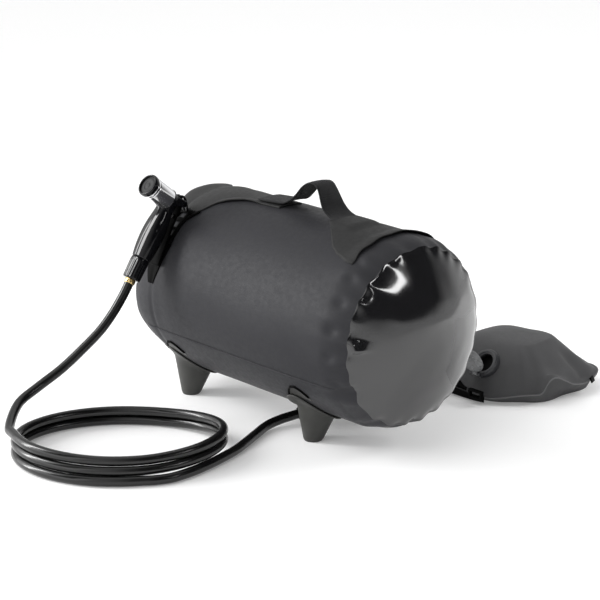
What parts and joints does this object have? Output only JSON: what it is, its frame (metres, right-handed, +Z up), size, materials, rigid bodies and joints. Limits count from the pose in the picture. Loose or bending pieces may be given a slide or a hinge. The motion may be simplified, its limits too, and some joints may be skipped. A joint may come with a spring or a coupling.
{
  "type": "camp shower pump",
  "caption": "Fabric pressure tank on moulded feet with a carry strap, a trigger hand spray on a coiled hose, and a foam foot pump with a flip-cap intake.",
  "frame": {"origin": "on the ground, in the middle of the box round everything but the hose", "axes": "+X along the tank to its glossy front end, +Y from the hand spray across to the foot pump, +Z up"},
  "size_m": [0.5044, 0.8044, 0.3243],
  "materials": {
    "tank_fabric": "matte coated",
    "front_film": "gloss",
    "foot_rubber": "satin",
    "webbing": "woven matte",
    "black_plastic": "satin",
    "grey_plastic": "matte",
    "seal_rubber": "matte",
    "hose_vinyl": "semi-gloss",
    "spray_plastic": "gloss",
    "spray_face": "satin",
    "chrome_barrel": "polished",
    "brass_ring": "polished",
    "steel": "brushed",
    "pump_fabric": "matte coated",
    "pump_foam": "matte foam",
    "intake_rubber": "satin",
    "clear_cap": "frosted translucent"
  },
  "bodies": {
    "shower": {"tank_tube": "tank_fabric", "rear_end_cap": "tank_fabric", "base_panel": "tank_fabric", "front_patch": "tank_fabric", "rear_flap": "tank_fabric", "front_end_cap": "front_film", "front_near_foot": "foot_rubber", "front_far_foot": "foot_rubber", "rear_near_foot": "foot_rubber", "rear_far_foot": "foot_rubber", "handle_strap": "webbing", "pump_strap": "webbing", "pump_tab": "webbing", "holder_ladder": "black_plastic", "fill_neck": "black_plastic", "tether_strap": "black_plastic", "inlet_body": "black_plastic", "inlet_nut": "black_plastic", "inlet_retainer": "black_plastic", "outlet_elbow": "black_plastic", "outlet_nut": "black_plastic", "pump_spigot": "black_plastic", "pump_clip": "black_plastic", "outlet_strainer": "grey_plastic", "inlet_gasket": "seal_rubber", "inlet_washer": "seal_rubber", "outlet_gasket": "seal_rubber", "barrel_oring": "seal_rubber", "plunger_oring": "seal_rubber", "hose_lead": "hose_vinyl", "hose_coil": "hose_vinyl", "hose_riser": "hose_vinyl", "grip_body": "spray_plastic", "face_bezel": "spray_plastic", "hose_collar": "spray_plastic", "spray_plate": "spray_face", "spray_barrel": "chrome_barrel", "hose_ferrule": "brass_ring", "lever_pin": "steel", "plunger_spring": "steel", "inlet_spring": "steel", "pump_base": "pump_fabric", "foam_core": "pump_foam"},
    "cap_carrier": {"cap_ring": "black_plastic"},
    "filler_cap": {"fill_cap": "black_plastic", "cap_gasket": "seal_rubber"},
    "trigger": {"trigger_lever": "spray_plastic"},
    "plunger": {"valve_plunger": "grey_plastic"},
    "poppet": {"inlet_poppet": "steel"},
    "pump_top": {"pump_bag": "pump_fabric"},
    "intake": {"intake_ring": "intake_rubber", "intake_pin": "steel"},
    "flip_cap": {"intake_cap": "clear_cap"},
    "check_flap": {"intake_flap": "seal_rubber"}
  },
  "joints": [
    {"name": "cap_lift", "type": "slide", "parent": "shower", "child": "cap_carrier", "axis": [-1, 0, 0], "range_m": [0, 0.012], "deforming": ["tether_strap"]},
    {"name": "cap_turn", "type": "hinge", "parent": "cap_carrier", "child": "filler_cap", "pos_m": [-0.2318, -0.1088, 0.153], "axis": [-1, 0, 0], "range_deg": [0, 720]},
    {"name": "trigger_squeeze", "type": "hinge", "parent": "shower", "child": "trigger", "pos_m": [-0.1508, -0.18784, 0.26949], "axis": [-1, 0, 0], "range_deg": [0, 7], "stiffness_Nm_per_rad": 0.4, "springref_deg": -8.59},
    {"name": "plunger_slide", "type": "slide", "parent": "shower", "child": "plunger", "axis": [0, -0.8028, 0.5962], "range_m": [0, 0.0026], "deforming": ["plunger_spring"]},
    {"name": "poppet_slide", "type": "slide", "parent": "shower", "child": "poppet", "axis": [0, -1, 0], "range_m": [0, 0.003], "stiffness_N_per_m": 150, "springref_m": -0.004, "deforming": ["inlet_spring"]},
    {"name": "pump_press", "type": "slide", "parent": "shower", "child": "pump_top", "axis": [0, 0, -1], "range_m": [0, 0.04], "stiffness_N_per_m": 1500, "springref_m": -0.01, "deforming": ["pump_bag", "foam_core"]},
    {"name": "intake_drop", "type": "slide", "parent": "shower", "child": "intake", "axis": [0, 0, -1], "range_m": [0, 0.0165]},
    {"name": "flip_cap_turn", "type": "hinge", "parent": "intake", "child": "flip_cap", "pos_m": [0.12076, 0.09982, 0.03729], "axis": [1, 0, 0], "range_deg": [-60, 30]},
    {"name": "check_flap_turn", "type": "hinge", "parent": "intake", "child": "check_flap", "pos_m": [0.12076, 0.13281, 0.05529], "axis": [1, 0, 0], "range_deg": [0, 40], "stiffness_Nm_per_rad": 0.01, "springref_deg": -11.46}
  ],
  "couplings": [
    {"joint": "cap_lift", "follows": "cap_turn", "m_per_rad": 0.00095493},
    {"joint": "plunger_slide", "follows": "trigger_squeeze", "m_per_rad": 0.02},
    {"joint": "intake_drop", "follows": "pump_press", "ratio": 0.41}
  ]
}
